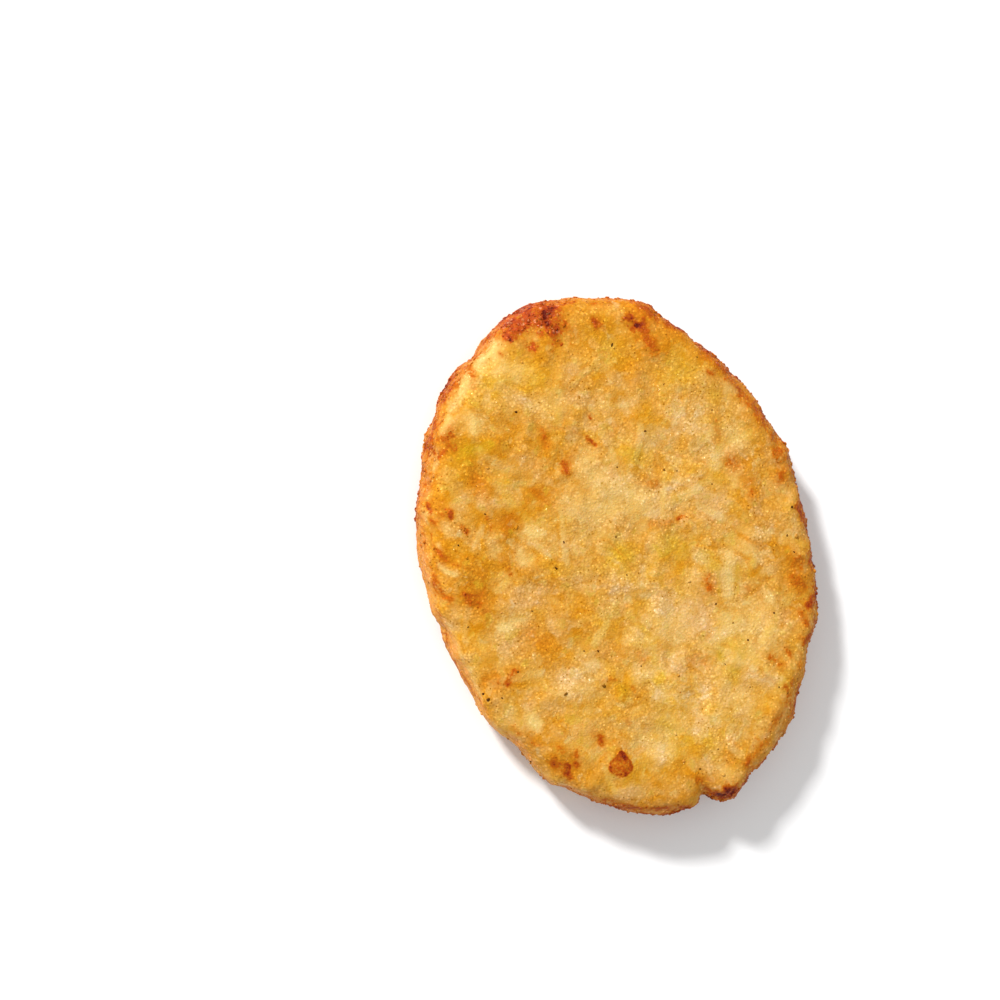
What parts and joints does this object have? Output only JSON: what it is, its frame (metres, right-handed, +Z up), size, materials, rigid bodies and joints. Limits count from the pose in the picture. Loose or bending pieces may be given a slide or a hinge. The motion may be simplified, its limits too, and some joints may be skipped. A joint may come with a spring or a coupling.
{
  "type": "oval hash brown",
  "caption": "Oval hash brown patty of grated potato, golden with a browned, craggy rim and a flat underside that it rests on.",
  "frame": {"origin": "under the middle of the patty's bounding box, on the surface that it rests on", "axes": "+Z up through the thickness, towards the face that the picture shows; +Y along the long axis, towards the darkest browned end; +X across"},
  "size_m": [0.0748, 0.0998, 0.013],
  "materials": {
    "fried_potato": "golden fried crust, slightly oily, darker at the rim"
  },
  "bodies": {
    "root": {"hash_brown": "fried_potato"}
  },
  "joints": []
}
